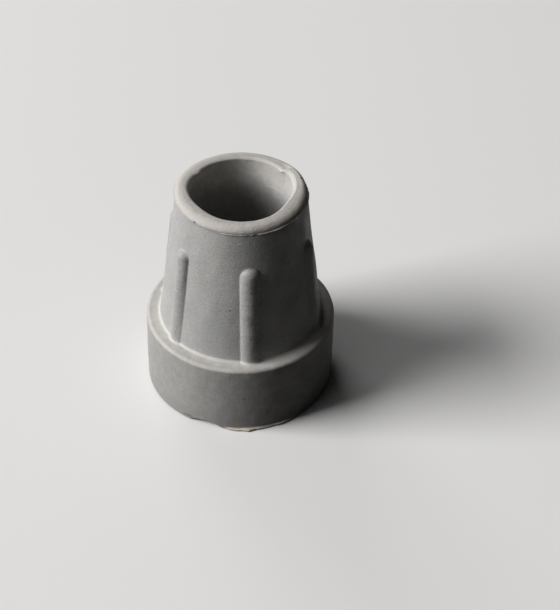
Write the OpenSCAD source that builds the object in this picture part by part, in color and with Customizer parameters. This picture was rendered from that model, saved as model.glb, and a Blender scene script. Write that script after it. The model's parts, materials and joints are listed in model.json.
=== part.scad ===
// Rubber tip for a walking cane: a thick-walled cup, moulded in one piece, that is pushed on to the shaft.
// Millimetres. The origin is the middle of the sole, on the ground, with +Z up the bore.
// The front is towards -Y, and a wide rib lies on it. Turns are counter-clockwise, seen from above.

/* [Bore] */
// Diameter of the bore, a little under the 19 mm shaft that it grips
bore_d = 18.8; // [16:0.2:25]
// Rubber between the bore's floor and the ground
floor_t = 14; // [10:0.5:18]
// Rounding of the lip where the bore opens
lip_r = 0.3; // [0.3:0.1:0.7]
// Fillet between the bore's wall and its floor
floor_fillet = 1.5; // [0.5:0.25:3]

/* [Neck] */
// Height of the whole tip
height = 43; // [40:0.2:60]
// Wall at the mouth
mouth_wall = 2.5; // [2.4:0.1:4]
// Rounding of the rim's outer edge
rim_r = 1.6; // [0.8:0.1:1.6]
// How far the neck widens on each side, from the parting line down to the shoulder
neck_flare = 3.35; // [2:0.05:6]

/* [Parting line] */
// Distance from the mouth down to the line where the two halves of the mould meet
parting_drop = 1.2; // [0.8:0.1:2]
// How far the thin ridge of flash stands out of the neck
flash_proud = 0.2; // [0.1:0.05:0.4]
// Height of the ridge's sloping lower side; its upper side is level
flash_h = 0.4; // [0.2:0.1:0.8]

/* [Foot] */
// Height of the shoulder above the ground
shoulder_h = 14.9; // [12:0.1:20]
// Width of the shoulder round the neck
shoulder_w = 2.55; // [2.2:0.05:4]
// Rounding of the shoulder's outer edge
shoulder_r = 0.7; // [0.5:0.1:1.5]
// Fillet between the neck and the shoulder
neck_fillet = 0.6; // [0.3:0.1:0.8]
// Rounding of the foot's lower edge
edge_r = 0.5; // [0.3:0.1:1.5]

/* [Ribs] */
// Number of wide ribs round the neck; a slim rib stands halfway between each two
rib_pairs = 3; // [2:1:4]
// Width of a wide rib
rib_w = 3.6; // [2.4:0.1:4.4]
// How far a wide rib stands out of the neck at its round top
rib_proud = 1.05; // [0.6:0.05:1.2]
// How far a wide rib stands out of the neck at the shoulder
rib_foot_proud = 0.75; // [0.5:0.05:1.2]
// Width of a slim rib
slim_rib_w = 2.9; // [2.4:0.1:4.4]
// How far a slim rib stands out of the neck at its round top
slim_rib_proud = 1; // [0.6:0.05:1.2]
// How far a slim rib stands out of the neck at the shoulder
slim_rib_foot_proud = 0.5; // [0.4:0.05:1.2]
// Distance from the mouth down to the ribs' round tops
rib_drop = 8; // [5:0.2:12]

/* [Sole] */
// Number of ring grooves in the sole
ring_count = 3; // [2:1:4]
// Width of a groove
groove_w = 1.8; // [1:0.1:2]
// Depth of a groove, which ends in a half round
groove_depth = 1.6; // [1.2:0.1:4]
// Radius of the round pad in the middle
pad_r = 3; // [2:0.5:4]
// Width of the outermost ring that the tip stands on
tread_w = 3.8; // [2.5:0.1:5]

/* [Worn edge] */
// Depth of the worn scoop in the foot's lower edge
worn_depth = 0.9; // [0.3:0.1:1.5]
// Radius of the ball that gives the scoop its shape
worn_ball_r = 12; // [5:0.5:16]
// Turn of the scoop from the front
worn_turn = -29; // [-180:1:180]

/* [Hidden] */
$fn = 96;
bore_r = bore_d / 2;
mouth_r = bore_r + mouth_wall;
parting_z = height - parting_drop;
neck_foot_r = mouth_r + neck_flare;
foot_r = neck_foot_r + shoulder_w;
// Slope of the neck's wall from the vertical
neck_slope = atan(neck_flare / (parting_z - shoulder_h));
rib_top = height - rib_drop;
first_groove_r = pad_r + groove_w / 2;
groove_pitch = (foot_r - tread_w - pad_r - groove_w) / (ring_count - 1);
// Cutters run this far past the surfaces that they cut
past = 1;
// A round surface that runs smoothly into another one gets this much more radius, so that the two cross
hair = 0.002;

// The radius of a circle whose bow has this width and height
function radius_of_bow(width, high) = (pow(width / 2, 2) + pow(high, 2)) / (2 * high);

// What a convex corner loses to a rounding: the corner is the origin, and the solid lies towards -X and -Y
module rounding(r) {
    difference() {
        translate([-r, -r]) square(r + past);
        translate([-r, -r]) circle(r);
    }
}

// The foot's half section, with its rounded edges and the grooves of the sole
module foot_section() {
    difference() {
        square([foot_r, shoulder_h]);
        translate([foot_r, shoulder_h]) rounding(shoulder_r);
        translate([foot_r, 0]) mirror([0, 1]) rounding(edge_r);
        for (i = [0 : ring_count - 1])
            translate([first_groove_r + i * groove_pitch, 0]) groove_section();
    }
}

// A groove's section: straight sides and a half-round bottom
module groove_section() {
    straight = groove_depth - groove_w / 2;
    translate([-groove_w / 2, -past]) square([groove_w, past + straight]);
    translate([0, straight]) circle(groove_w / 2);
}

// The neck's half section: a cone, and above the parting line a rounded rim
module neck_section() {
    polygon([
        [0, shoulder_h - past],
        [neck_foot_r, shoulder_h - past],
        [neck_foot_r, shoulder_h],
        [mouth_r, parting_z],
        [0, parting_z]
    ]);
    difference() {
        translate([0, shoulder_h]) square([mouth_r, height - shoulder_h]);
        translate([mouth_r, height]) rounding(rim_r);
    }
}

// The concave fillet where the neck stands on the shoulder
module neck_fillet_section() {
    wall_normal = [cos(neck_slope), sin(neck_slope)];
    centre = [
        neck_foot_r + neck_fillet * (1 - sin(neck_slope)) / cos(neck_slope),
        shoulder_h + neck_fillet
    ];
    on_neck = centre - neck_fillet * wall_normal;
    difference() {
        polygon([
            centre,
            on_neck,
            on_neck - past * wall_normal,
            [neck_foot_r - past, shoulder_h - past],
            [centre[0], shoulder_h - past]
        ]);
        translate(centre) circle(neck_fillet + hair);
    }
}

// The ridge of flash that the two halves of the mould leave at the parting line
module flash_section() {
    polygon([
        [mouth_r - past, parting_z - flash_h],
        [mouth_r, parting_z - flash_h],
        [mouth_r + flash_proud, parting_z],
        [mouth_r - past, parting_z]
    ]);
}

// One rib on the front: a round bar with a ball end, sunk in the neck until it shows its width.
// Its axis runs from inside the foot up to the middle of the ball.
module rib(width, proud, foot_proud) {
    ball_r = radius_of_bow(width, proud);
    bar_foot_r = radius_of_bow(width, foot_proud);
    ball_z = rib_top - ball_r;
    wall_r = neck_foot_r - (ball_z - shoulder_h) * tan(neck_slope);
    foot_middle = [neck_foot_r + foot_proud - bar_foot_r, shoulder_h];
    ball_middle = [wall_r - (ball_r - proud) / cos(neck_slope), ball_z];
    axis = ball_middle - foot_middle;
    length = norm(axis);
    lean = atan(-axis[0] / axis[1]);
    spread = (bar_foot_r - ball_r) / length;
    translate([0, -foot_middle[0], shoulder_h]) rotate([-lean, 0, 0]) {
        translate([0, 0, -past]) cylinder(h = length + past, r1 = bar_foot_r + past * spread, r2 = ball_r);
        translate([0, 0, length]) sphere(ball_r + hair);
    }
}

// The bore's half section, with the rounded lip and the fillet at its floor
module bore_section() {
    difference() {
        translate([0, floor_t]) square([bore_r, height - floor_t + past]);
        translate([bore_r, floor_t]) mirror([0, 1]) rounding(floor_fillet);
    }
    difference() {
        translate([bore_r - past, height - lip_r]) square([lip_r + past, lip_r + past]);
        translate([bore_r + lip_r, height - lip_r]) circle(lip_r);
    }
}

// The ball that wears the foot's lower edge, at 45 degrees to wall and sole
module worn_scoop() {
    reach = (worn_ball_r - worn_depth) / sqrt(2);
    rotate([0, 0, worn_turn]) translate([0, -foot_r - reach, -reach]) sphere(worn_ball_r);
}

// The whole tip, one moulding
module cane_tip() {
    color([0.63, 0.62, 0.6]) difference() {
        union() {
            rotate_extrude() {
                foot_section();
                neck_section();
                neck_fillet_section();
                flash_section();
            }
            for (i = [0 : rib_pairs - 1]) rotate([0, 0, i * 360 / rib_pairs]) {
                rib(rib_w, rib_proud, rib_foot_proud);
                rotate([0, 0, 180 / rib_pairs]) rib(slim_rib_w, slim_rib_proud, slim_rib_foot_proud);
            }
        }
        rotate_extrude() bore_section();
        worn_scoop();
    }
}

cane_tip();
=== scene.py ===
# %% [markdown]
# # A rubber tip for a walking cane
#
# The real object is one moulding: grey rubber is pressed into a mould round a steel core, and it comes out as
# a thick cup with ribs. So this scene has one piece, and all the work goes into two things: a surface with the
# small faults that a mould and a pavement leave, and a rubber that is matte, dusty and a little stained.
#
# The script works in millimetres up to the moment when a mesh is made, and Blender works in metres.

import json
import math

import bpy
import numpy as np
from mathutils import Matrix, Vector


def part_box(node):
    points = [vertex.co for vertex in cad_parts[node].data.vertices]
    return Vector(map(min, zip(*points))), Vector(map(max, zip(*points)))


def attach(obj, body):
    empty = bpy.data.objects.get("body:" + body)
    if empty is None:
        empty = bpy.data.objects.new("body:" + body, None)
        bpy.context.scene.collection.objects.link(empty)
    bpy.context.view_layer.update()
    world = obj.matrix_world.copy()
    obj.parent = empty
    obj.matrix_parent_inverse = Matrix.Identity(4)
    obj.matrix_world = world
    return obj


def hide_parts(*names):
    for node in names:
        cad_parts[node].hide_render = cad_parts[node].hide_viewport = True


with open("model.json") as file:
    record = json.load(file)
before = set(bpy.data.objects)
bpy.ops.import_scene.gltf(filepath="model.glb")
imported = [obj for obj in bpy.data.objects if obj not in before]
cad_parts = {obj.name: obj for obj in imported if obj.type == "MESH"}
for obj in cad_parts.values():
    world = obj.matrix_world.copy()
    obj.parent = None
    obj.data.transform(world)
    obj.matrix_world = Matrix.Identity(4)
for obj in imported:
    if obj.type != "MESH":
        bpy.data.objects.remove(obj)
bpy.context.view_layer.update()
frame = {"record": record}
MM = 0.001

# %% [markdown]
# ## The driving sizes
#
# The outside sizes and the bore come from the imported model, so the dressed piece can't drift away from the
# solid. The others are the solid's own named sizes, and everything below is worked out from them. A place on
# the tip is given by its turn, in degrees counter-clockwise from the front as seen from above, and its height.

# %% Sizes in millimetres
_, high_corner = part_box("cane_tip")
mount_sizes = {mount["name"]: mount["dims"] for mount in frame["record"]["mounts"]}
HEIGHT = high_corner[2] / MM
FOOT_R = high_corner[0] / MM
BORE_R = mount_sizes["bore"]["r_mm"]

MOUTH_WALL = 2.5
SHOULDER_H = 14.9
SHOULDER_W = 2.55
SHOULDER_ROUND = 0.7
NECK_FILLET = 0.6
EDGE_ROUND = 0.5
RIM_ROUND = 1.6
LIP_ROUND = 0.3
PARTING_DROP = 1.2
FLOOR_T = 14.0
FLOOR_FILLET = 1.5
RIB_PAIRS = 3
RIB_DROP = 8.0
WIDE_RIB = (3.6, 1.05, 0.75)
SLIM_RIB = (2.9, 1.0, 0.5)
GROOVE_COUNT = 3
GROOVE_W = 1.8
GROOVE_DEPTH = 1.6
PAD_R = 3.0
TREAD_W = 3.8

MOUTH_R = BORE_R + MOUTH_WALL
NECK_FOOT_R = FOOT_R - SHOULDER_W
PARTING_Z = HEIGHT - PARTING_DROP
NECK_SLOPE = math.atan((NECK_FOOT_R - MOUTH_R) / (PARTING_Z - SHOULDER_H))
print(f"foot radius {FOOT_R:.2f}, height {HEIGHT:.2f}, bore radius {BORE_R:.2f}, all in mm")

# %% [markdown]
# ## One sheet of points for the whole skin
#
# The skin of a turned or moulded part is a section walked once round an axis. Here every point has two
# parameters: its column, which is a turn round the axis, and its row, which is a step along the section, from
# the middle of the sole out, up the outside, over the rim and down into the bore. Both are whole arrays, so
# each form below is a formula over the full grid.
#
# The columns aren't evenly spaced. A rib's sides are steep, so the columns are more than twice as close there
# as on the plain wall between two ribs.

# %% Columns: the turns round the axis
RIB_COLUMNS = 40
WALL_COLUMNS = 33
RIB_ZONE = 19.0


def column_turns():
    """Turns in radians. Each rib's sector is its zone in even fine steps, then the wall to the next zone in even
    coarse steps. The last turn meets the first, so it is left out."""
    sector = 180.0 / RIB_PAIRS
    zone = np.linspace(-RIB_ZONE / 2, RIB_ZONE / 2, RIB_COLUMNS, endpoint=False)
    wall = np.linspace(RIB_ZONE / 2, sector - RIB_ZONE / 2, WALL_COLUMNS, endpoint=False)
    starts = np.arange(2 * RIB_PAIRS)[:, None] * sector
    return np.radians(starts + np.concatenate([zone, wall])).ravel()


turns = column_turns()
print("columns round the axis:", turns.size)

# %% [markdown]
# ## Random ripples that come out the same every time
#
# Real rubber is never true: its walls wander by a few hundredths of a millimetre. A sum of plane waves with
# random directions gives such a field at any wavelength, it has no seam, and a seeded generator makes it the
# same in every run.

# %% A smooth random field, and a soft spot


def ripple(places, wavelength, seed, waves=24):
    """A smooth random field at places, an array of (x, y, z) in mm: the sum of sin(k . p + phase) over plane
    waves, with lengths spread round the given wavelength. It is mostly within 1 of zero, and never beyond 3."""
    dice = np.random.default_rng(seed)
    ways = dice.normal(size=(waves, 3))
    ways /= np.linalg.norm(ways, axis=1, keepdims=True)
    lengths = wavelength * dice.uniform(0.7, 1.6, waves)
    phases = dice.uniform(0, 2 * math.pi, waves)
    k = 2 * math.pi * ways / lengths[:, None]
    return np.sin(places @ k.T + phases).sum(axis=-1) / math.sqrt(waves)


def place(turn, height, radius):
    """The point (x, y, z) in mm at a turn in degrees from the front (-Y), a height and a distance from the axis."""
    angle = math.radians(turn)
    return np.array([radius * math.sin(angle), -radius * math.cos(angle), height])


def spot(places, centre, reach):
    """1 at centre and fading to 0 round it: exp(-(distance / reach) squared). reach is one length, or three for
    an ellipsoid along x, y and z."""
    away = (places - centre) / np.asarray(reach, float)
    return np.exp(-(away**2).sum(axis=-1))


def turn_gap(degrees):
    """Each column's turn less a given one, in degrees, from -180 to 180."""
    return (np.degrees(turns) - degrees + 180.0) % 360.0 - 180.0


def bell(gap, width):
    """A bell over one parameter: exp(-(gap / width) squared)."""
    return np.exp(-((gap / width) ** 2))


rim_circle = np.stack([MOUTH_R * np.sin(turns), -MOUTH_R * np.cos(turns), 0 * turns], axis=-1)
foot_circle = np.stack([FOOT_R * np.sin(turns), -FOOT_R * np.cos(turns), 0 * turns], axis=-1)
print("a ripple's range on the rim:", ripple(rim_circle, 4.0, 1).min(), ripple(rim_circle, 4.0, 1).max())

# %% [markdown]
# ## Lines and arcs, the two strokes of the section
#
# A section is drawn with straight strokes and arcs only. Each stroke gives its rows as two arrays, radius and
# height, with a value for every column, so that a stroke may change as it goes round: the shoulder gets
# narrower in front of a rib, for instance. A stroke leaves out its first point, which the last stroke gave.

# %% Strokes


def line(start, end, steps, pace=1.0):
    """Rows on a straight stroke: start + t^pace (end - start), for t in even steps up to 1."""
    t = (np.linspace(0, 1, steps + 1)[1:, None]) ** pace
    radius = start[0] + t * (end[0] - start[0]) + 0 * turns
    height = start[1] + t * (end[1] - start[1]) + 0 * turns
    return radius, height


def arc(centre, size, first, last, steps):
    """Rows on a round stroke: centre + size (cos a, sin a), for a from first to last in degrees."""
    angle = np.radians(np.linspace(first, last, steps + 1)[1:, None])
    radius = centre[0] + size * np.cos(angle) + 0 * turns
    height = centre[1] + size * np.sin(angle) + 0 * turns
    return radius, height


print("a quarter arc's rows and columns:", arc((10.0, 0.0), 1.0, 0, 90, 8)[0].shape)

# %% [markdown]
# ## The sole
#
# The sole is what grips the ground, and such tips have ring grooves there with rubber pads between them. A
# groove has straight sides and a half-round bottom, and its edges are slightly broken, as moulded rubber's
# are. Nobody sees it while the tip stands, but the part is looked at from below too.

# %% Rows of the sole, from its middle to the lower edge
GROOVE_EDGE = 0.15


def sole_strokes():
    """Pads at height 0 with a groove between each two: edge arc, side, half-round bottom, side, edge arc."""
    half = GROOVE_W / 2
    roof = GROOVE_DEPTH - half
    first = PAD_R + half
    pitch = (FOOT_R - TREAD_W - PAD_R - GROOVE_W) / (GROOVE_COUNT - 1)
    strokes = []
    reached = 0.0
    for i in range(GROOVE_COUNT):
        middle = first + i * pitch
        inner, outer = middle - half, middle + half
        strokes += [
            line((reached, 0.0), (inner - GROOVE_EDGE, 0.0), 3),
            arc((inner - GROOVE_EDGE, GROOVE_EDGE), GROOVE_EDGE, -90, 0, 2),
            line((inner, GROOVE_EDGE), (inner, roof), 1),
            arc((middle, roof), half, 180, 0, 6),
            line((outer, roof), (outer, GROOVE_EDGE), 1),
            arc((outer + GROOVE_EDGE, GROOVE_EDGE), GROOVE_EDGE, 180, 270, 2),
        ]
        reached = outer + GROOVE_EDGE
    strokes.append(line((reached, 0.0), (FOOT_R - EDGE_ROUND, 0.0), 10))
    return strokes


print("strokes of the sole:", len(sole_strokes()))

# %% [markdown]
# ## The foot
#
# The foot is a plain upright wall between two rounded edges. Its lowest millimetre has close rows, because
# that is where the wear and the torn flash come later.

# %% Rows of the foot, up to the top of its wall


def foot_strokes():
    """Lower edge arc, close rows, wider rows, and the arc that rolls over on to the shoulder."""
    edge_centre = (FOOT_R - EDGE_ROUND, EDGE_ROUND)
    crest_centre = (FOOT_R - SHOULDER_ROUND, SHOULDER_H - SHOULDER_ROUND)
    close = 1.7
    return [
        arc(edge_centre, EDGE_ROUND, -90, 0, 8),
        line((FOOT_R, EDGE_ROUND), (FOOT_R, close), 12),
        line((FOOT_R, close), (FOOT_R, crest_centre[1]), 15),
        arc(crest_centre, SHOULDER_ROUND, 0, 90, 11),
    ]


print("strokes of the foot:", len(foot_strokes()))

# %% [markdown]
# ## The neck and its ribs
#
# The mould's maker cuts each rib with a ball-ended cutter that leans a little, so a rib is a tapered round bar
# with a ball end, sunk in the cone, and it stands out more at its top than at the shoulder. Wide and slim ribs
# take turns. At any height a ray from the axis meets a bar where a quadratic equation says, and the neck's
# radius is the greatest of the cone and the bars. A soft maximum leaves the tiny fillet that real rubber has
# along the root.

# %% The neck's radius at every turn and height
ROOT_BLEND = 0.06


def radius_of_bow(width, high):
    """The radius of a circle whose bow has this width and height: ((w / 2)^2 + h^2) / 2h."""
    return ((width / 2) ** 2 + high**2) / (2 * high)


def cone_radius(height):
    """The plain neck: a straight line from the shoulder's foot radius to the mouth's."""
    return NECK_FOOT_R - (height - SHOULDER_H) * math.tan(NECK_SLOPE)


def bar_radius(turn, height, width, proud, foot_proud):
    """Where a ray from the axis leaves a bar on the front, which is so wide and stands out so far at its top and
    at its foot. On the shaft, the level cut is an ellipse, whose middle and size change evenly with the height;
    past the end plane it is the ball. Both give a quadratic in the radius, and a ray that misses gives 0."""
    ball_r, foot_r = radius_of_bow(width, proud), radius_of_bow(width, foot_proud)
    ball_z = HEIGHT - RIB_DROP - ball_r
    ball_middle = cone_radius(ball_z) - (ball_r - proud) / math.cos(NECK_SLOPE)
    foot_middle = NECK_FOOT_R + foot_proud - foot_r
    lean = math.atan((foot_middle - ball_middle) / (ball_z - SHOULDER_H))

    share = (height - SHOULDER_H) / (ball_z - SHOULDER_H)
    middle = foot_middle + share * (ball_middle - foot_middle)
    bar_r = foot_r + np.minimum(share, 1) * (ball_r - foot_r)
    squash = math.cos(lean) ** 2
    c, s = np.cos(turn), np.sin(turn)
    a = c**2 * squash + s**2
    b = middle * c * squash
    under = b**2 - a * (middle**2 * squash - bar_r**2)
    shaft = np.where(under > 0, (b + np.sqrt(np.maximum(under, 0))) / a, 0)

    under = (ball_middle * c) ** 2 - (ball_middle**2 + (height - ball_z) ** 2 - ball_r**2)
    ball = np.where(under > 0, ball_middle * c + np.sqrt(np.maximum(under, 0)), 0)

    along = (ball_middle - shaft * c) * math.sin(lean) + (height - ball_z) * math.cos(lean)
    return np.where(along < 0, shaft, ball)


def neck_radius(height):
    """The cone with its ribs: the soft maximum max(a, b) + max(k - |a - b|, 0)^2 / 4k of cone and bars."""
    pair = 2 * math.pi / RIB_PAIRS
    wide = bar_radius((turns + pair / 2) % pair - pair / 2, height, *WIDE_RIB)
    slim = bar_radius(turns % pair - pair / 2, height, *SLIM_RIB)
    cone, bar = cone_radius(height) + 0 * turns, np.maximum(wide, slim)
    blend = np.maximum(ROOT_BLEND - np.abs(cone - bar), 0) ** 2 / (4 * ROOT_BLEND)
    return np.maximum(cone, bar) + blend


print("neck radius at mid height, on a rib and beside it:", neck_radius(25.0).max(), neck_radius(25.0).min())

# %% [markdown]
# ## The shoulder
#
# Between the foot's crest and the neck lies a narrow level shelf, and a concave fillet joins it to the neck. A
# wide rib stands on the shelf and takes almost half of its width, and the fillet runs round the rib's foot too.
# It shrinks to fit where the shelf is too narrow for it.

# %% Rows of the shoulder and the neck


def shoulder_strokes():
    """The shelf, then the fillet: a concave arc that ends square to the neck's slope."""
    slope = NECK_SLOPE
    shelf_r = FOOT_R - SHOULDER_ROUND
    foot_of_neck = neck_radius(SHOULDER_H)
    per_fillet = (1 - math.sin(slope)) / math.cos(slope)
    fillet = np.minimum(NECK_FILLET, 0.8 * (shelf_r - foot_of_neck) / per_fillet)
    centre = (foot_of_neck + fillet * per_fillet, SHOULDER_H + fillet)
    return [
        line((shelf_r, SHOULDER_H), (centre[0], SHOULDER_H), 4),
        arc(centre, fillet, 270, 180 + math.degrees(slope), 7),
    ], centre[1] - fillet * math.sin(slope)


def neck_stroke(start_z, end_z):
    """Rows up the neck from start_z, which changes round the tip, to end_z. They lie close together where the
    ribs' ball ends are, and wider elsewhere."""
    rib_top = HEIGHT - RIB_DROP
    dome_low, dome_high = rib_top - 2.7, rib_top + 0.4
    below = np.linspace(0, 1, 19)[1:, None]
    across = np.linspace(0, 1, 16)[1:, None]
    above = np.linspace(0, 1, 9)[1:, None]
    height = np.vstack(
        [
            start_z + below * (dome_low - start_z),
            dome_low + across * (dome_high - dome_low) + 0 * turns,
            dome_high + above * (end_z - dome_high),
        ]
    )
    return neck_radius(height), height


shoulder, fillet_top = shoulder_strokes()
print("the fillet ends between", fillet_top.min(), "and", fillet_top.max(), "mm above the ground")

# %% [markdown]
# ## The parting line
#
# Just below the rim, the two halves of the mould meet. A little rubber squeezes out there and leaves flash: a
# paper-thin, ragged ridge, torn off in places. The halves never meet quite true, so the line dips a little
# to one side, and on the back left the rim stands out past it by almost half a millimetre.

# %% Rows across the ridge of flash
RIDGE_HALF = 0.3
RIDGE_FALL = 0.045
LINE_DIP = 0.12
LINE_DIP_TURN = 130.0


def parting_height():
    """The line's height: level, plus a cosine of one turn for the dip, plus a slow ripple."""
    dip = LINE_DIP * np.cos(turns - math.radians(LINE_DIP_TURN))
    return PARTING_Z + dip + 0.03 * ripple(rim_circle, 7.0, 11)


def rim_round():
    """The radius of the rim's outer rounding at each turn. Behind the right, where the tip has been pulled off
    again and again, the rim is pressed flat and its edge is tighter."""
    return RIM_ROUND - 0.65 * bell(turn_gap(112.0), 34.0)


def rim_edge(height):
    """The radius of the rim's outer rounding at a height: a quarter circle, upright at its lower end."""
    size = rim_round()
    over = np.clip(height - (HEIGHT - size), 0, size)
    return MOUTH_R - size + np.sqrt(size**2 - over**2)


def ridge_height():
    """How far the flash stands out: ragged ripples, cut off at 0.02, with a few taller burrs and torn gaps. Most of
    it is torn off along the left."""
    ragged = 0.16 + 0.04 * ripple(rim_circle, 1.1, 12) + 0.03 * ripple(rim_circle, 4.5, 13)
    burrs = 0.16 * bell(turn_gap(28.0), 2.0) + 0.28 * bell(turn_gap(47.0), 1.6) + 0.12 * bell(turn_gap(68.0), 22.0)
    torn = 1.0 - 0.8 * bell(turn_gap(5.0), 1.8) - 0.5 * bell(turn_gap(-35.0), 20.0)
    torn -= 0.9 * bell(turn_gap(-85.0), 32.0)
    return np.maximum(ragged * np.maximum(torn, 0) + burrs, 0.02)


def parting_stroke():
    """Rows across the ridge: the cone below the line and the rim's edge above it, plus a sharp peak on the line,
    exp(-|v| / fall), v being the height from the line. Its foot is cut to zero at the first and last row."""
    v = RIDGE_HALF * np.array([-1.0, -0.55, -0.28, -0.12, 0.0, 0.12, 0.28, 0.55, 1.0])[:, None]
    peak = np.exp(-np.abs(v) / RIDGE_FALL) - math.exp(-RIDGE_HALF / RIDGE_FALL)
    height = parting_height() + v
    wall = np.where(v > 0, rim_edge(height), cone_radius(height))
    return wall + peak * ridge_height(), height, peak * np.clip(ridge_height() / 0.16, 0, 1)


print("flash stands out by", ridge_height().min(), "to", ridge_height().max(), "mm")

# %% [markdown]
# ## The rim and the bore
#
# Above the parting line the rim is rounded over to a narrow level top, and a lip leads into the bore. Use has
# changed both: the lip is wider at the right and behind, and the outer edge is tighter there. The bore is a true
# cylinder, because it has to grip the shaft, and it ends in a filleted floor.

# %% Rows of the rim and the bore
LIP_ROWS = 9


def lip_width():
    """The lip's width at each turn. Shafts have been forced in over it, so it is worn wider at the right and
    behind than the mould made it."""
    worn = 0.4 * bell(turn_gap(98.0), 26.0) + 0.25 * bell(turn_gap(150.0), 24.0) + 0.15 * bell(turn_gap(-105.0), 35.0)
    return LIP_ROUND + worn


def rim_strokes():
    """The big outer arc from just above the flash, the level top, and the lip. The lip is a quarter arc that is
    drawn towards its chord at its upper end, which leaves a crease on the top."""
    start = parting_height() + RIDGE_HALF
    size = rim_round()
    centre_z = HEIGHT - size
    t = np.linspace(0, 1, 13)[1:, None]
    first = np.arcsin(np.clip((start - centre_z) / size, 0, 0.9))
    angle = first + t * (math.pi / 2 - first)
    outer = (MOUTH_R - size + size * np.cos(angle), centre_z + size * np.sin(angle))
    wide = lip_width()
    top = line((MOUTH_R - size, HEIGHT), (BORE_R + wide, HEIGHT), 6)
    quarter = arc((BORE_R + wide, HEIGHT - wide), wide, 90, 180, LIP_ROWS)
    chord = line((BORE_R + wide, HEIGHT), (BORE_R, HEIGHT - wide), LIP_ROWS)
    share = 0.55 * (1 - np.linspace(0, 1, LIP_ROWS + 1)[1:, None])
    lip = tuple(round_rows + share * (flat_rows - round_rows) for round_rows, flat_rows in zip(quarter, chord))
    return [outer, top, lip]


def bore_strokes():
    """The wall, with rows that spread out as it goes down, then the floor's fillet and the floor."""
    return [
        line((BORE_R, HEIGHT - lip_width()), (BORE_R, FLOOR_T + FLOOR_FILLET), 18, pace=1.35),
        arc((BORE_R - FLOOR_FILLET, FLOOR_T + FLOOR_FILLET), FLOOR_FILLET, 0, -90, 6),
        line((BORE_R - FLOOR_FILLET, FLOOR_T), (0.8, FLOOR_T), 5),
    ]


strokes = sole_strokes() + foot_strokes() + shoulder
strokes.append(neck_stroke(fillet_top, parting_height() - RIDGE_HALF - 0.12))
rows_below_parting = sum(stroke[0].shape[0] for stroke in strokes)
*parting_rows, flash_and_highlight_mask = parting_stroke()
strokes.append(parting_rows)
rows_below_rim = sum(stroke[0].shape[0] for stroke in strokes)
strokes += rim_strokes()
rows_below_bore = sum(stroke[0].shape[0] for stroke in strokes)
strokes += bore_strokes()

radius = np.vstack([stroke[0] for stroke in strokes])
height = np.vstack([stroke[1] for stroke in strokes])
skin = np.stack([radius * np.sin(turns), -radius * np.cos(turns), height], axis=-1)
print("rows and columns of the skin:", skin.shape[:2])

# %% [markdown]
# ## What use and a tired mould did to it
#
# Several kinds of change move the points of the perfect skin. The rim overhangs the parting line on one side, its
# mouth has sagged out of round, and it has a fold and two small bulges. A ball-shaped scoop is
# worn out of the lower edge, as in the solid. Torn flash sticks out at the ground beside it. And the whole
# surface wanders a little. Each is a weight between 0 and 1 times a move, so they add up without disturbing
# each other.

# %% Which way each point faces


def skin_normals(points):
    """Unit normals of the sheet: the cross product of the steps along the rows and along the columns, pointing
    out of the rubber."""
    along_rows = np.gradient(points, axis=0)
    around = np.roll(points, -1, axis=1) - np.roll(points, 1, axis=1)
    normal = np.cross(around, along_rows)
    size = np.linalg.norm(normal, axis=-1, keepdims=True)
    return normal / np.maximum(size, 1e-9)


normals = skin_normals(skin)
foot_row = int(np.argmin(np.abs(height[:, 0] - 8.0) + np.abs(radius[:, 0] - FOOT_R)))
print("on the foot's front a point faces", normals[foot_row, 0].round(3))

# %% Let the rim stand out on one side, sag and fold
RIM_OVERHANG = 0.42
RIM_OVERHANG_TURN = -112.0
FOLD_TURN = 122.0
FOLD_LEAN = 1.9
FOLD_DEPTH = 0.34
LINE_ROWS = slice(rows_below_parting, rows_below_rim)
RIM_ROWS = slice(rows_below_rim, rows_below_bore)


def overhang_rim(points):
    """The rim stands out past the line on one side: outwards by (1 + cos(turn from that side)) / 2. The move grows
    over the ridge's rows and dies out towards the bore, by the distance from its wall over the wall's thickness."""
    weight = np.zeros(points.shape[:2])
    weight[LINE_ROWS] = np.linspace(0, 1, rows_below_rim - rows_below_parting)[:, None] ** 3
    outward = (radius[RIM_ROWS] - BORE_R) / MOUTH_WALL
    weight[RIM_ROWS] = np.clip(outward * 1.6, 0, 1)
    move = RIM_OVERHANG * (1 + np.cos(np.radians(turn_gap(RIM_OVERHANG_TURN)))) / 2
    return points + (weight * move)[..., None] * np.stack([np.sin(turns), -np.cos(turns), 0 * turns], axis=-1)


def sag_mouth(points):
    """The tired mouth isn't round any more. It sags inwards at the left front and at the right and spreads behind,
    by a sum of bells over the turn. The move is full at the lip, and dies out over the top and down the bore."""
    move = -0.3 * bell(turn_gap(-62.0), 22.0) - 0.6 * bell(turn_gap(56.0), 24.0) + 0.2 * bell(turn_gap(-108.0), 14.0)
    move += 0.45 * bell(turn_gap(112.0), 14.0) + 0.15 * bell(turn_gap(155.0), 25.0)
    weight = np.zeros(points.shape[:2])
    inward = np.clip((MOUTH_R - radius[RIM_ROWS]) / 2.1, 0, 1)
    weight[RIM_ROWS] = inward**2 * (3 - 2 * inward)
    weight[rows_below_bore:] = bell(HEIGHT - height[rows_below_bore:], 6.0)
    outward = np.stack([np.sin(turns), -np.cos(turns), 0 * turns], axis=-1)
    return points + (weight * move)[..., None] * outward


def mark_rim(points):
    """Each mark is a spot times a move towards the axis, where the lip bulges into the bore."""
    bulge = spot(points, place(FOLD_TURN, HEIGHT, 9.7), 0.7)
    kink = spot(points, place(-130.0, HEIGHT - 0.3, 9.4), 0.8)
    moved = points + 0.45 * bulge[..., None] * place(FOLD_TURN, 0.0, -1.0)
    return moved + 0.30 * kink[..., None] * place(-130.0, 0.0, -1.0)


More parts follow.
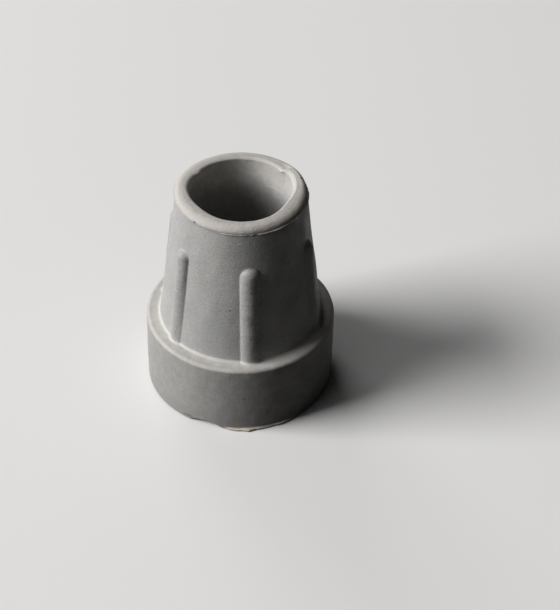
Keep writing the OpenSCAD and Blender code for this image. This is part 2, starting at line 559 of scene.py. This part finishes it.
def fold_rim(points):
    """A fold in the top of the rim: the surface drops by an S-curve at a turn that leans with the distance from
    the axis, and comes back slowly, as a bell. The fold fades out before the rim's edge and down the bore."""
    away = np.hypot(points[..., 0], points[..., 1])
    behind = turn_gap(FOLD_TURN) + FOLD_LEAN * (away - BORE_R)
    drop = FOLD_DEPTH / (1 + np.exp(-behind / 0.45)) * bell(np.maximum(behind, 0), 12.0)
    drop *= np.clip((MOUTH_R - 0.35 - away) / 0.9, 0, 1) * bell(HEIGHT - points[..., 2], 1.2)
    drop[:rows_below_rim] = 0
    return points - drop[..., None] * np.array([0, 0, 1.0])


skin = fold_rim(mark_rim(sag_mouth(overhang_rim(skin))))
print("the rim stands out past the line by up to", RIM_OVERHANG, "mm")

# %% Wear the lower edge, and leave torn flash beside it
WORN_DEPTH = 0.9
WORN_BALL_R = 12.0
WORN_TURN = -29.0


def wear_edge(points):
    """Points inside the ball are pushed out to its surface, away from its centre, which is the same as cutting
    the ball away. The ball's centre lies outside the edge, at 45 degrees to wall and sole."""
    reach = (WORN_BALL_R - WORN_DEPTH) / math.sqrt(2)
    centre = place(WORN_TURN, -reach, FOOT_R + reach)
    away = points - centre
    distance = np.linalg.norm(away, axis=-1, keepdims=True)
    return np.where(distance < WORN_BALL_R, centre + away * WORN_BALL_R / distance, points)


def tear_flash(points):
    """A ragged lip at the ground: outward by its length at each turn, times a steep S-curve over the height, which
    gives the lip a level top. Its foot stays on the ground."""
    span = 1 / (1 + np.exp(-turn_gap(-15.5) / 1.2)) - 1 / (1 + np.exp(-turn_gap(27.0) / 3.0))
    ragged = 0.42 + 0.07 * ripple(foot_circle, 2.4, 21) + 0.04 * ripple(foot_circle, 0.9, 22)
    nub = 0.30 * bell(turn_gap(-2.3), 1.8)
    length = np.maximum(ragged, 0.05) * span + nub
    top = 0.44 + 0.06 * ripple(foot_circle, 3.1, 23)
    low = 1 / (1 + np.exp((points[..., 2] - top) / 0.05))
    low *= np.clip((np.hypot(points[..., 0], points[..., 1]) - FOOT_R + 1.2) / 0.8, 0, 1)
    outward = points * np.array([1, 1, 0])
    outward /= np.maximum(np.linalg.norm(outward, axis=-1, keepdims=True), 1e-9)
    return points + (low * length)[..., None] * outward


skin = tear_flash(wear_edge(skin))
print("lowest point after the wear:", skin[..., 2].min())

# %% Let the whole surface wander
WANDER_SLOW = 0.035
WANDER_QUICK = 0.012


def wander(points):
    """A move along the normal by two ripples, slow and quick. It dies out at the sole, which stays flat, and in
    the bore, which stays round."""
    free = np.clip((points[..., 2] - 0.2) / 2.0, 0, 1)
    free[rows_below_bore:] *= 0.3
    amount = WANDER_SLOW * ripple(points, 9.0, 31) + WANDER_QUICK * ripple(points, 2.2, 32)
    return points + (free * amount)[..., None] * skin_normals(points)


skin = wander(skin)
print("greatest radius now:", np.hypot(skin[..., 0], skin[..., 1]).max())

# %% [markdown]
# ## From the sheet to a closed mesh
#
# Each cell of the sheet is one four-sided face, and the last column joins the first. At both ends of the
# section the sheet closes on the axis, where one point takes a fan of triangles. The order of a face's corners
# makes it look outwards.

# %% Build the mesh


def closed_mesh(name, points, first_pole, last_pole):
    """Rows of rings between two poles: ring i joins ring i + 1 with quads (a, b, c, d), and each pole joins its
    ring with triangles. Lengths go from millimetres to metres here."""
    rows, columns = points.shape[:2]
    index = np.arange(rows * columns).reshape(rows, columns)
    beside = np.roll(index, -1, axis=1)
    quads = np.stack([index[:-1], beside[:-1], beside[1:], index[1:]], axis=-1).reshape(-1, 4)
    start, end = rows * columns, rows * columns + 1
    opening = np.stack([beside[0], index[0], np.full(columns, start)], axis=-1)
    closing = np.stack([index[-1], beside[-1], np.full(columns, end)], axis=-1)
    vertices = np.vstack([points.reshape(-1, 3), first_pole, last_pole]) * MM

    mesh = bpy.data.meshes.new(name)
    mesh.vertices.add(len(vertices))
    mesh.vertices.foreach_set("co", vertices.ravel())
    corners = np.concatenate([quads.ravel(), opening.ravel(), closing.ravel()])
    sizes = np.concatenate([np.full(len(quads), 4), np.full(2 * columns, 3)])
    mesh.loops.add(corners.size)
    mesh.loops.foreach_set("vertex_index", corners)
    mesh.polygons.add(sizes.size)
    mesh.polygons.foreach_set("loop_start", np.concatenate([[0], np.cumsum(sizes)[:-1]]))
    mesh.polygons.foreach_set("use_smooth", np.ones(sizes.size, bool))
    mesh.update(calc_edges=True)
    mesh.validate()
    return mesh


tip_mesh = closed_mesh("rubber_tip", skin, [0, 0, 0], [0, 0, FLOOR_T])
rubber_tip = bpy.data.objects.new("rubber_tip", tip_mesh)
bpy.context.scene.collection.objects.link(rubber_tip)
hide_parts("cane_tip")
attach(rubber_tip, "root")
triangles = sum(len(face.vertices) - 2 for face in tip_mesh.polygons)
print("triangles in the piece:", triangles)

# %% [markdown]
# ## Where the rubber changed colour, and where light and shade are painted
#
# The finish isn't the same all over. Warm dust sits on the rim, most of all on its outer rounding. A paler bloom
# lies on the shoulder, strongest where its edges round over, so that the crest carries a painted highlight, and
# just inside the mouth a pale band is painted light that fades down the bore. Street dirt clings to the foot, and
# the bore is painted darker, most of all deep down and on the side away from the lamp, which is painted shade. The
# ribs show the lines of the cutter that made their mould, and the flash is painted pale, partly as thin rubber and
# partly as a painted highlight along its ridge.
# Those places follow the form, so they are written to the mesh as attributes from 0 to 1, one value a point,
# and the material breaks them up with finer noise.

# %% Paint the attributes


def write_attribute(mesh, name, sheet):
    """One float a point: the sheet's values in row order, then the two poles' values, taken from their rings."""
    values = np.concatenate([sheet.ravel(), [sheet[0].mean(), sheet[-1].mean()]]).astype(np.float32)
    attribute = mesh.attributes.new(name, "FLOAT", "POINT")
    attribute.data.foreach_set("value", values)


def ramp(values, low, high):
    """0 at low and 1 at high, straight between them and held outside."""
    return np.clip((values - low) / (high - low), 0, 1)


facing = skin_normals(skin)
from_axis = np.hypot(skin[..., 0], skin[..., 1])
tall = skin[..., 2]
outside = np.zeros(skin.shape[:2])
outside[: rows_below_bore + 1] = 1.0

below_mouth = (1 - outside) * (HEIGHT - tall)

rim_dust = outside * ramp(tall, PARTING_Z + 0.1, PARTING_Z + 0.9) * (0.5 + 0.5 * ramp(from_axis, 10.3, 11.1))
# A pale bloom on the shoulder's upward faces. It is weaker on the level shelf than where the edges round over, so
# that the crest carries a painted highlight.
bloom_and_painted_light = ramp(tall, SHOULDER_H - 1.6, SHOULDER_H - 0.5) * ramp(facing[..., 2], 0.1, 0.5)
bloom_and_painted_light *= tall < SHOULDER_H + 0.8
bloom_and_painted_light *= 1 - 0.4 * ramp(facing[..., 2], 0.85, 1.0)
# Just inside the mouth the lip and the upper bore are painted paler, fading out from 3.5 to 10 mm down: painted light
# where the lamp reaches into the bore.
mouth_rows = np.arange(skin.shape[0])[:, None] >= rows_below_bore - LIP_ROWS
bloom_and_painted_light += 0.62 * mouth_rows * (1 - ramp(HEIGHT - tall, 3.5, 10.0))
# The bore is painted darker: a little all over, more down the side that faces away from the lamp, and most deep down,
# where little light reaches. All of this is painted shade.
away_from_lamp = 0.4 * bell(turn_gap(-110.0), 60.0) * ramp(below_mouth, 0.8, 2.5)
bore_painted_shade = (1 - outside) * (0.2 + away_from_lamp + 0.8 * ramp(below_mouth, 4.5, 13.0))
on_neck = outside * (tall > SHOULDER_H + 1.0) * (tall < PARTING_Z - 0.6)
rib_wear = on_neck * ramp(from_axis - cone_radius(tall), 0.25, 0.6)
near_ground = np.exp(-np.clip(tall, 0, None) / 1.8)
foot_dirt = outside * ramp(from_axis, NECK_FOOT_R, FOOT_R - 0.3) * (0.55 + 0.45 * near_ground)
# The ridge of flash is painted pale, partly because thin flash is paler rubber and partly as a painted highlight
# along the ridge. The torn flash at the ground is painted pale as well.
flash = np.zeros(skin.shape[:2])
flash[LINE_ROWS] = flash_and_highlight_mask
flash += (tall < 0.6) * ramp(from_axis, FOOT_R + 0.02, FOOT_R + 0.2)

painted_sheets = {
    "dust": rim_dust,
    "bloom": bloom_and_painted_light,
    "dirt": foot_dirt,
    "flash": flash,
    "soot": bore_painted_shade,
    "rib": rib_wear,
}
for name, sheet in painted_sheets.items():
    write_attribute(tip_mesh, name, sheet)
    print(f"{name}: {100 * (sheet > 0.5).mean():.1f} % of the points")

# %% [markdown]
# ## Effects as node groups
#
# Four effects are used more than once in the rubber, at different sizes and places: clouds, which mottle a
# colour, specks, which are sparse round dots, breakup, which frays the edge of a painted attribute, and mark,
# a single blot or scratch at one place. Each is a node group with its own inputs, and it puts out one value
# that changes over the surface. A mark is drawn by nodes and not by an attribute, because it may be smaller
# than the mesh's faces.

# %% Node helpers


def add(tree, kind, **settings):
    """A node of a kind, with its properties set by name."""
    made = tree.nodes.new(kind)
    for name, value in settings.items():
        setattr(made, name, value)
    return made


def feed(tree, source, node, socket):
    """Links a socket, or sets a plain value, on a node's input."""
    if isinstance(source, bpy.types.NodeSocket):
        tree.links.new(source, node.inputs[socket])
    else:
        node.inputs[socket].default_value = source


def math_node(tree, operation, a, b=0.0, clamp=False):
    """a operation b."""
    made = add(tree, "ShaderNodeMath", operation=operation, use_clamp=clamp)
    feed(tree, a, made, 0)
    feed(tree, b, made, 1)
    return made.outputs[0]


def remap(tree, value, low, high, to_low=0.0, to_high=1.0):
    """value taken from the range low..high to to_low..to_high, smoothly and held at both ends."""
    made = add(tree, "ShaderNodeMapRange", interpolation_type="SMOOTHSTEP")
    feed(tree, value, made, "Value")
    for socket, number in (("From Min", low), ("From Max", high), ("To Min", to_low), ("To Max", to_high)):
        feed(tree, number, made, socket)
    return made.outputs["Result"]


def blend_colour(tree, factor, a, b, kind="MIX"):
    """Colour a towards colour b by factor."""
    made = add(tree, "ShaderNodeMix", data_type="RGBA", blend_type=kind)
    feed(tree, factor, made, 0)
    feed(tree, a, made, 6)
    feed(tree, b, made, 7)
    return made.outputs[2]


def new_group(name, vectors, numbers):
    """An empty node group with named vector and number inputs and one output, Value."""
    group = bpy.data.node_groups.new(name, "ShaderNodeTree")
    for label in vectors:
        group.interface.new_socket(name=label, in_out="INPUT", socket_type="NodeSocketVector")
    for label in numbers:
        group.interface.new_socket(name=label, in_out="INPUT", socket_type="NodeSocketFloat")
    group.interface.new_socket(name="Value", in_out="OUTPUT", socket_type="NodeSocketFloat")
    return group, add(group, "NodeGroupInput").outputs, add(group, "NodeGroupOutput")


print("node helpers are ready")

# %% Clouds and specks


def clouds_group():
    """Clouds: fractal noise, stretched to fill 0..1."""
    group, given, put = new_group("clouds", ["Vector"], ["Scale", "Detail"])
    noise = add(group, "ShaderNodeTexNoise")
    for label in ("Vector", "Scale", "Detail"):
        feed(group, given[label], noise, label)
    feed(group, remap(group, noise.outputs["Fac"], 0.3, 0.7), put, "Value")
    return group


def specks_group():
    """Specks: 1 near the middle of a few cells of a random lattice, 0 elsewhere. Share says how many cells have
    one, and Size how large it is against the cell."""
    group, given, put = new_group("specks", ["Vector"], ["Scale", "Size", "Share"])
    cells = add(group, "ShaderNodeTexVoronoi")
    feed(group, given["Vector"], cells, "Vector")
    feed(group, given["Scale"], cells, "Scale")
    chance = add(group, "ShaderNodeSeparateColor")
    feed(group, cells.outputs["Color"], chance, "Color")
    chosen = math_node(group, "LESS_THAN", chance.outputs["Red"], given["Share"])
    size = math_node(group, "MULTIPLY", given["Size"], chance.outputs["Green"])
    inside = math_node(group, "SUBTRACT", size, cells.outputs["Distance"])
    dot = remap(group, inside, 0.0, 0.08)
    feed(group, math_node(group, "MULTIPLY", dot, chosen), put, "Value")
    return group


CLOUDS, SPECKS = clouds_group(), specks_group()
print("groups:", [group.name for group in bpy.data.node_groups])

# %% Breakup and mark


def breakup_group():
    """Breakup: a painted mask, frayed by fine noise: smoothstep of mask + Strength (noise - 1/2)."""
    group, given, put = new_group("breakup", ["Vector"], ["Mask", "Scale", "Strength"])
    noise = add(group, "ShaderNodeTexNoise")
    feed(group, given["Vector"], noise, "Vector")
    feed(group, given["Scale"], noise, "Scale")
    feed(group, 6.0, noise, "Detail")
    fray = math_node(group, "MULTIPLY", math_node(group, "SUBTRACT", noise.outputs["Fac"], 0.5), given["Strength"])
    feed(group, remap(group, math_node(group, "ADD", given["Mask"], fray), 0.2, 0.8), put, "Value")
    return group


def mark_group():
    """Mark: 1 inside an ellipsoid round Centre, with Reach along each axis, and 0 outside. The distance is
    |(Vector - Centre) / Reach|, and noise added to it by Fray makes the edge uneven."""
    group, given, put = new_group("mark", ["Vector", "Centre", "Reach"], ["Fray"])
    away = add(group, "ShaderNodeVectorMath", operation="SUBTRACT")
    feed(group, given["Vector"], away, 0)
    feed(group, given["Centre"], away, 1)
    scaled = add(group, "ShaderNodeVectorMath", operation="DIVIDE")
    feed(group, away.outputs[0], scaled, 0)
    feed(group, given["Reach"], scaled, 1)
    length = add(group, "ShaderNodeVectorMath", operation="LENGTH")
    feed(group, scaled.outputs[0], length, 0)
    noise = add(group, "ShaderNodeTexNoise")
    feed(group, given["Vector"], noise, "Vector")
    feed(group, 2200.0, noise, "Scale")
    feed(group, 5.0, noise, "Detail")
    fray = math_node(group, "MULTIPLY", math_node(group, "SUBTRACT", noise.outputs["Fac"], 0.5), given["Fray"])
    distance = math_node(group, "ADD", length.outputs["Value"], fray)
    feed(group, remap(group, distance, 1.15, 0.35), put, "Value")
    return group


BREAKUP, MARK = breakup_group(), mark_group()


def use(tree, group, **values):
    """Places a group in a material and returns its value."""
    made = add(tree, "ShaderNodeGroup", node_tree=group)
    for name, value in values.items():
        feed(tree, value, made, name)
    return made.outputs["Value"]


print("groups:", [group.name for group in bpy.data.node_groups])

# %% [markdown]
# ## Single marks
#
# Brown drops have dried on the front rib and the foot, faint pink stains lie on the rim and the neck, and rust
# has left a spot inside the mouth and one at the ground. The mould and the pavement left a few dark nicks, and
# something scraped the neck to the right of the rib. A pale arc on the wall of the bore is a painted highlight,
# where a low bulge in the wall would catch the light. Each mark has a turn, a height, a distance from the axis,
# and its reach across and up, all in millimetres and degrees. Some stand at round turns and heights, and others
# are strewn at random over a small patch.

# %% Marks: turn, height, distance from the axis, reach across, reach up
RIM_MIDDLE = (BORE_R + MOUTH_R) / 2
UPPER_NECK_R = 13.0
MIDDLE_NECK_R = 14.0
LOWER_NECK_R = 15.0
ARC_HIGHLIGHT_Z = 37.5


def strewn(seed, count, turns, heights, away, across, up):
    """Marks at seeded random places in a patch, which is a range of turns and a range of heights. They lie at one
    distance from the axis, and each is up to a third smaller or larger than the reach that is asked for."""
    draw = np.random.default_rng(seed)
    places = zip(draw.uniform(*turns, count), draw.uniform(*heights, count), draw.uniform(0.67, 1.33, count))
    return [(turn, high, away, across * size, up * size) for turn, high, size in places]


BROWN_DROPS = strewn(41, 2, (-2, 1), (30, 32), MIDDLE_NECK_R, 0.4, 0.5)
BROWN_DROPS += strewn(42, 4, (-3, 1), (20, 25), LOWER_NECK_R, 0.5, 0.8)
BROWN_DROPS += [(10, 4, FOOT_R, 0.6, 1.2), (-5, 8, FOOT_R, 0.3, 0.3)]
PINK_STAINS = strewn(43, 10, (-60, 60), (HEIGHT, HEIGHT), RIM_MIDDLE, 0.5, 0.3)
PINK_STAINS += strewn(44, 5, (-45, -20), (30, 32), UPPER_NECK_R, 0.3, 0.8)
PINK_STAINS += [(130, HEIGHT, RIM_MIDDLE, 0.8, 0.4), (10, HEIGHT - 1, MOUTH_R, 1.8, 0.5)]
RUST_SPOTS = [(120, HEIGHT - 2.5, BORE_R, 0.3, 0.45), (-10, 1.5, FOOT_R, 0.7, 0.4)]
DARK_NICKS = [
    (-50, HEIGHT - 1, MOUTH_R, 0.35, 0.22),
    (100, HEIGHT, MOUTH_R - 0.5, 0.3, 0.25),
    (-15, 26, MIDDLE_NECK_R, 0.17, 0.22),
    (-2, SHOULDER_H - 0.5, FOOT_R, 0.13, 0.25),
    (-40, 1, FOOT_R, 1.6, 0.12),
]
SCRAPES = strewn(45, 5, (26, 34), (33.5, 35.5), UPPER_NECK_R, 0.13, 0.55)
SCRAPES += [(-10, 40, MOUTH_R, 0.5, 0.14)]
# A pale arc on the bore's wall is a painted highlight, where a low bulge would catch the light. It rises as a
# low arch.
BORE_ARC_HIGHLIGHTS = []
for turn in (126, 131, 136, 141):
    rise = 0.5 * math.sin(math.radians(9 * (turn - 122)))
    BORE_ARC_HIGHLIGHTS.append((turn, ARC_HIGHLIGHT_Z + rise, BORE_R, 1.1, 0.3))

# Each kind of mark, and how much its edge frays
MARKS = {
    "drops": (BROWN_DROPS, 2.8),
    "nicks": (DARK_NICKS, 0.8),
    "scrapes": (SCRAPES, 0.8),
    "stains": (PINK_STAINS, 1.6),
    "rust": (RUST_SPOTS, 1.0),
    "smears": (BORE_ARC_HIGHLIGHTS, 0.4),
}
print("marks:", {name: len(listed) for name, (listed, _) in MARKS.items()})

# %% [markdown]
# ## The grey rubber
#
# Rubber filled with chalk and zinc oxide is a soft grey that leans a little warm. It is matte, but not dead: a
# broad sheen follows the light, and the skin that the mould pressed is smoother than the dusty rim. The
# colour is built in layers: the rubber and its clouds, then what came to it later, which is bloom, dirt, dust and
# the single marks, and with them painted light and shade: a highlight on the shoulder's crest, along the flash
# and on an arc in the bore, a pale band inside the mouth, and shade down the bore. The bump is fine grain, the
# mould's level turning marks, pits, and the same nicks and scrapes.

# %% The rubber's colours


def colour(red, green, blue):
    """An sRGB colour of 0..255 as the linear colour that a socket takes."""
    channels = [value / 255 for value in (red, green, blue)]
    linear = [c / 12.92 if c <= 0.04045 else ((c + 0.055) / 1.055) ** 2.4 for c in channels]
    return (*linear, 1.0)


COOL_GREY = colour(163, 163, 163)
WARM_GREY = colour(179, 177, 173)
# The bloom's colour also paints the crest's highlight and the light just inside the mouth.
BLOOM_AND_LIGHT_TINT = colour(208, 204, 198)
DIRT = colour(138, 133, 127)
DUST = colour(195, 189, 181)
# The pale colour paints the scrapes, and also painted highlights on the flash and on an arc in the bore.
PALE = colour(208, 196, 180)
BROWN = colour(128, 98, 74)
DARK = colour(62, 57, 53)
PINK = colour(176, 142, 126)
RUST = colour(196, 158, 118)
# The darkest grey paints shade down the bore.
BORE_SHADE_GREY = colour(84, 82, 80)
print("the rubber's warm grey, linear:", [round(channel, 3) for channel in WARM_GREY])

# %% The rubber's material


def on_skin(turn, high, away):
    """A place dropped on to the skin: it moves along the normal of the nearest point until it lies in the plane
    there, because the skin has sagged and wandered a little."""
    given = place(turn, high, away)
    row, column = np.unravel_index(np.linalg.norm(skin - given, axis=-1).argmin(), skin.shape[:2])
    normal = facing[row, column]
    return given - ((given - skin[row, column]) @ normal) * normal


def all_marks(tree, where, listed, fray):
    """The greatest of the listed marks: each is an ellipsoid round its place, and one reach serves for both level
    directions."""
    most = None
    for turn, high, away, across, up in listed:
        centre = on_skin(turn, high, away) * MM
        value = use(tree, MARK, Vector=where, Centre=centre, Reach=(across * MM, across * MM, up * MM), Fray=fray)
        most = value if most is None else math_node(tree, "MAXIMUM", most, value)
    return most


def stretched(tree, where, across, up):
    """The coordinates scaled level and upright, so that a noise on them gets longer one way."""
    made = add(tree, "ShaderNodeMapping")
    feed(tree, where, made, "Vector")
    made.inputs["Scale"].default_value = (across, across, up)
    return made.outputs["Vector"]


GRAIN_CONTRAST = 0.14


def rubber_colour(tree, where, masks):
    """The layers of colour. Each is blended over the last by its own mask, and no mask reaches 1, so that the
    rubber always shows through."""
    broad = use(tree, CLOUDS, Vector=stretched(tree, where, 1.0, 1.8), Scale=110.0, Detail=3.0)
    wiped = use(tree, CLOUDS, Vector=stretched(tree, where, 1.0, 0.12), Scale=520.0, Detail=3.0)
    fine = use(tree, CLOUDS, Vector=where, Scale=1100.0, Detail=4.0)
    tone = math_node(tree, "ADD", math_node(tree, "MULTIPLY", broad, 0.45), math_node(tree, "MULTIPLY", wiped, 0.3))
    tone = math_node(tree, "ADD", tone, math_node(tree, "MULTIPLY", fine, 0.25))
    colours = blend_colour(tree, tone, COOL_GREY, WARM_GREY)
    grain = use(tree, CLOUDS, Vector=where, Scale=2600.0, Detail=4.0)
    colours = blend_colour(tree, GRAIN_CONTRAST, colours, grain, kind="MULTIPLY")
    lines = use(tree, CLOUDS, Vector=stretched(tree, where, 0.12, 1.0), Scale=2400.0, Detail=3.0)
    colours = blend_colour(tree, math_node(tree, "MULTIPLY", masks["rib"], 0.14), colours, lines, kind="MULTIPLY")
    # Some layers are painted light and shade: the pale bloom layer also paints the crest's highlight and the light
    # inside the mouth, the darkest layer paints shade down the bore, and the pale layers paint highlights along the
    # flash and on an arc in the bore.
    layers = (("bloom", 0.62, BLOOM_AND_LIGHT_TINT), ("dirt", 0.46, DIRT), ("dust", 0.72, DUST), ("soot", 0.65, BORE_SHADE_GREY))
    layers += (("flash", 0.9, PALE), ("drops", 0.5, BROWN), ("stains", 0.22, PINK), ("rust", 0.5, RUST))
    layers += (("specks", 0.25, DARK), ("nicks", 0.75, DARK), ("scrapes", 0.8, PALE), ("smears", 0.3, PALE))
    for name, most, tint in layers:
        colours = blend_colour(tree, math_node(tree, "MULTIPLY", masks[name], most), colours, tint)
    return colours


def rubber_bump(tree, where, masks):
    """Two bumps in a row. The first, in tenths of a millimetre, holds pits, nicks and scrapes; the second, finer,
    holds the turning marks, the dust and the grain."""
    deep = math_node(tree, "ADD", masks["pits"], math_node(tree, "ADD", masks["nicks"], masks["scrapes"]))
    first = add(tree, "ShaderNodeBump", invert=True)
    first.inputs["Strength"].default_value = 0.8
    first.inputs["Distance"].default_value = 0.00012
    feed(tree, deep, first, "Height")

    turning = use(tree, CLOUDS, Vector=stretched(tree, where, 0.1, 1.0), Scale=3000.0, Detail=2.0)
    grain = use(tree, CLOUDS, Vector=where, Scale=3600.0, Detail=3.0)
    crumbs = math_node(tree, "MULTIPLY", use(tree, CLOUDS, Vector=where, Scale=1900.0, Detail=5.0), masks["dust"])
    turned = math_node(tree, "ADD", math_node(tree, "MULTIPLY", masks["rib"], 0.35), 0.35)
    lines = math_node(tree, "MULTIPLY", turning, turned)
    height = math_node(tree, "ADD", lines, math_node(tree, "MULTIPLY", grain, 0.6))
    second = add(tree, "ShaderNodeBump")
    second.inputs["Strength"].default_value = 0.7
    second.inputs["Distance"].default_value = 0.00005
    feed(tree, math_node(tree, "ADD", height, math_node(tree, "MULTIPLY", crumbs, 0.6)), second, "Height")
    feed(tree, first.outputs["Normal"], second, "Normal")
    return second.outputs["Normal"]


# Each painted attribute, with the scale and the strength of its breakup
PAINTED = {
    "dust": (2400.0, 1.0),
    "bloom": (900.0, 0.5),
    "dirt": (700.0, 0.6),
    "flash": (1500.0, 0.5),
    "soot": (300.0, 0.3),
    "rib": (600.0, 0.6),
}


def rubber_material():
    """Colour, roughness and bump of the tip, all in the piece's own coordinates."""
    material = bpy.data.materials.new("grey_rubber")
    material.use_nodes = True
    tree = material.node_tree
    shader = tree.nodes["Principled BSDF"]
    where = add(tree, "ShaderNodeTexCoord").outputs["Object"]

    masks = {}
    for name, (scale, strength) in PAINTED.items():
        painted = add(tree, "ShaderNodeAttribute", attribute_name=name).outputs["Fac"]
        masks[name] = use(tree, BREAKUP, Vector=where, Mask=painted, Scale=scale, Strength=strength)
    for name, (listed, fray) in MARKS.items():
        masks[name] = all_marks(tree, where, listed, fray)
    in_the_open = math_node(tree, "SUBTRACT", 1.0, math_node(tree, "MULTIPLY", masks["soot"], 30.0, clamp=True))
    specks = use(tree, SPECKS, Vector=where, Scale=760.0, Size=0.30, Share=0.06)
    masks["specks"] = math_node(tree, "MULTIPLY", specks, in_the_open)
    masks["pits"] = use(tree, SPECKS, Vector=where, Scale=420.0, Size=0.16, Share=0.06)

    feed(tree, rubber_colour(tree, where, masks), shader, "Base Color")
    patches = use(tree, CLOUDS, Vector=where, Scale=260.0, Detail=4.0)
    rough = remap(tree, patches, 0, 1, 0.46, 0.58)
    rough = math_node(tree, "ADD", rough, math_node(tree, "MULTIPLY", masks["dust"], 0.24))
    feed(tree, math_node(tree, "ADD", rough, math_node(tree, "MULTIPLY", masks["dirt"], 0.08)), shader, "Roughness")
    feed(tree, rubber_bump(tree, where, masks), shader, "Normal")
    shader.inputs["Specular IOR Level"].default_value = 0.25
    return material


tip_mesh.materials.append(rubber_material())
print("materials:", [material.name for material in tip_mesh.materials])

# %% [markdown]
# ## Floor, light and camera
#
# The floor is plain and pale. It looks pale to the camera and in reflections, but it throws little light back,
# so that the side away from the lamp stays dark. One large soft lamp stands to the left, and its light grazes
# the ribs and the grain. A weak lamp, low down behind, draws the far edge of the rim, a weaker one overhead
# picks out the round tops of the ribs, and a faint world keeps the shadows open. Their level is plain: a surface
# that faces the light shows about its own colour.

# %% The floor


def floor_object():
    """A square of 2 m in the plane of the sole."""
    mesh = bpy.data.meshes.new("floor")
    side = 1.0
    mesh.from_pydata([(-side, -side, 0), (side, -side, 0), (side, side, 0), (-side, side, 0)], [], [(0, 1, 2, 3)])
    made = bpy.data.objects.new("floor", mesh)
    bpy.context.scene.collection.objects.link(made)
    material = bpy.data.materials.new("pale_floor")
    material.use_nodes = True
    shader = material.node_tree.nodes["Principled BSDF"]
    rays = add(material.node_tree, "ShaderNodeLightPath").outputs
    seen = math_node(material.node_tree, "ADD", rays["Is Camera Ray"], rays["Is Glossy Ray"])
    seen = math_node(material.node_tree, "ADD", seen, rays["Is Transmission Ray"], clamp=True)
    mixed = blend_colour(material.node_tree, seen, colour(40, 40, 40), colour(230, 229, 228))
    feed(material.node_tree, mixed, shader, "Base Color")
    shader.inputs["Roughness"].default_value = 0.9
    shader.inputs["Specular IOR Level"].default_value = 0.2
    mesh.materials.append(material)
    return made


floor = floor_object()
print("the floor lies at height", floor.location.z)

# %% Lights and world
CAMERA_TURN = -9.3


def lamp(name, turn, elevation, distance, side, power):
    """A square area lamp that looks at the tip's middle. turn is measured from the camera's own heading, and
    distance and side are in metres."""
    data = bpy.data.lights.new(name, "AREA")
    data.shape = "SQUARE"
    data.size = side
    data.energy = power
    made = bpy.data.objects.new(name, data)
    level = math.cos(math.radians(elevation))
    out = Vector(place(turn + CAMERA_TURN, math.sin(math.radians(elevation)), level))
    middle = Vector((0, 0, HEIGHT * MM / 2))
    made.location = middle + out * distance
    made.rotation_euler = (-out).to_track_quat("-Z", "Y").to_euler()
    bpy.context.scene.collection.objects.link(made)
    return made


key_lamp = lamp("key_lamp", turn=-79, elevation=32, distance=3.0, side=1.6, power=132)
back_lamp = lamp("back_lamp", turn=-155, elevation=24, distance=1.8, side=0.9, power=7.5)
top_lamp = lamp("top_lamp", turn=-70, elevation=68, distance=1.5, side=0.8, power=1.6)
world = bpy.data.worlds.new("studio")
bpy.context.scene.world = world
world.use_nodes = True
world.node_tree.nodes["Background"].inputs["Color"].default_value = (1, 1, 1, 1)
world.node_tree.nodes["Background"].inputs["Strength"].default_value = 0.008
print("the lamp stands at", [round(value, 2) for value in key_lamp.location])

# %% [markdown]
# ## The camera
#
# The camera stands in front and a little to the left of the front rib, looks down at about 41 degrees and leans
# over by less than 2. Its distance is 17.6 times the foot's radius, through a long lens, so that the far side of
# the rim looks hardly smaller than the near one.

# %% The camera
CAMERA_TILT = 40.54
CAMERA_ROLL = 1.66
CAMERA_RIGHT = 0.4392
CAMERA_UP = 0.6664
CAMERA_AWAY = 17.6271
FOCAL = 1600 * 36 / 610


def make_camera():
    """The camera's place is a sum of its own three axes: right, up and back, each times a number of foot radii.
    The axes are those of a level camera, tilted down, rolled, and turned about the tip's axis."""
    tilt, roll = math.radians(CAMERA_TILT), math.radians(CAMERA_ROLL)
    level_right = Vector((1, 0, 0))
    level_up = Vector((0, math.sin(tilt), math.cos(tilt)))
    ahead = Vector((0, math.cos(tilt), -math.sin(tilt)))
    right = math.cos(roll) * level_right + math.sin(roll) * level_up
    up = -math.sin(roll) * level_right + math.cos(roll) * level_up
    seat = (CAMERA_RIGHT * right + CAMERA_UP * up - CAMERA_AWAY * ahead) * FOOT_R * MM
    pose = Matrix((right, up, -ahead)).transposed().to_4x4()
    pose.translation = seat
    data = bpy.data.cameras.new("camera")
    data.lens = FOCAL
    data.sensor_width = 36
    made = bpy.data.objects.new("camera", data)
    made.matrix_world = Matrix.Rotation(math.radians(CAMERA_TURN), 4, "Z") @ pose
    bpy.context.scene.collection.objects.link(made)
    bpy.context.scene.camera = made
    return made


camera = make_camera()
bpy.context.scene.view_settings.view_transform = "Standard"
print("camera at", [round(value, 4) for value in camera.matrix_world.translation])
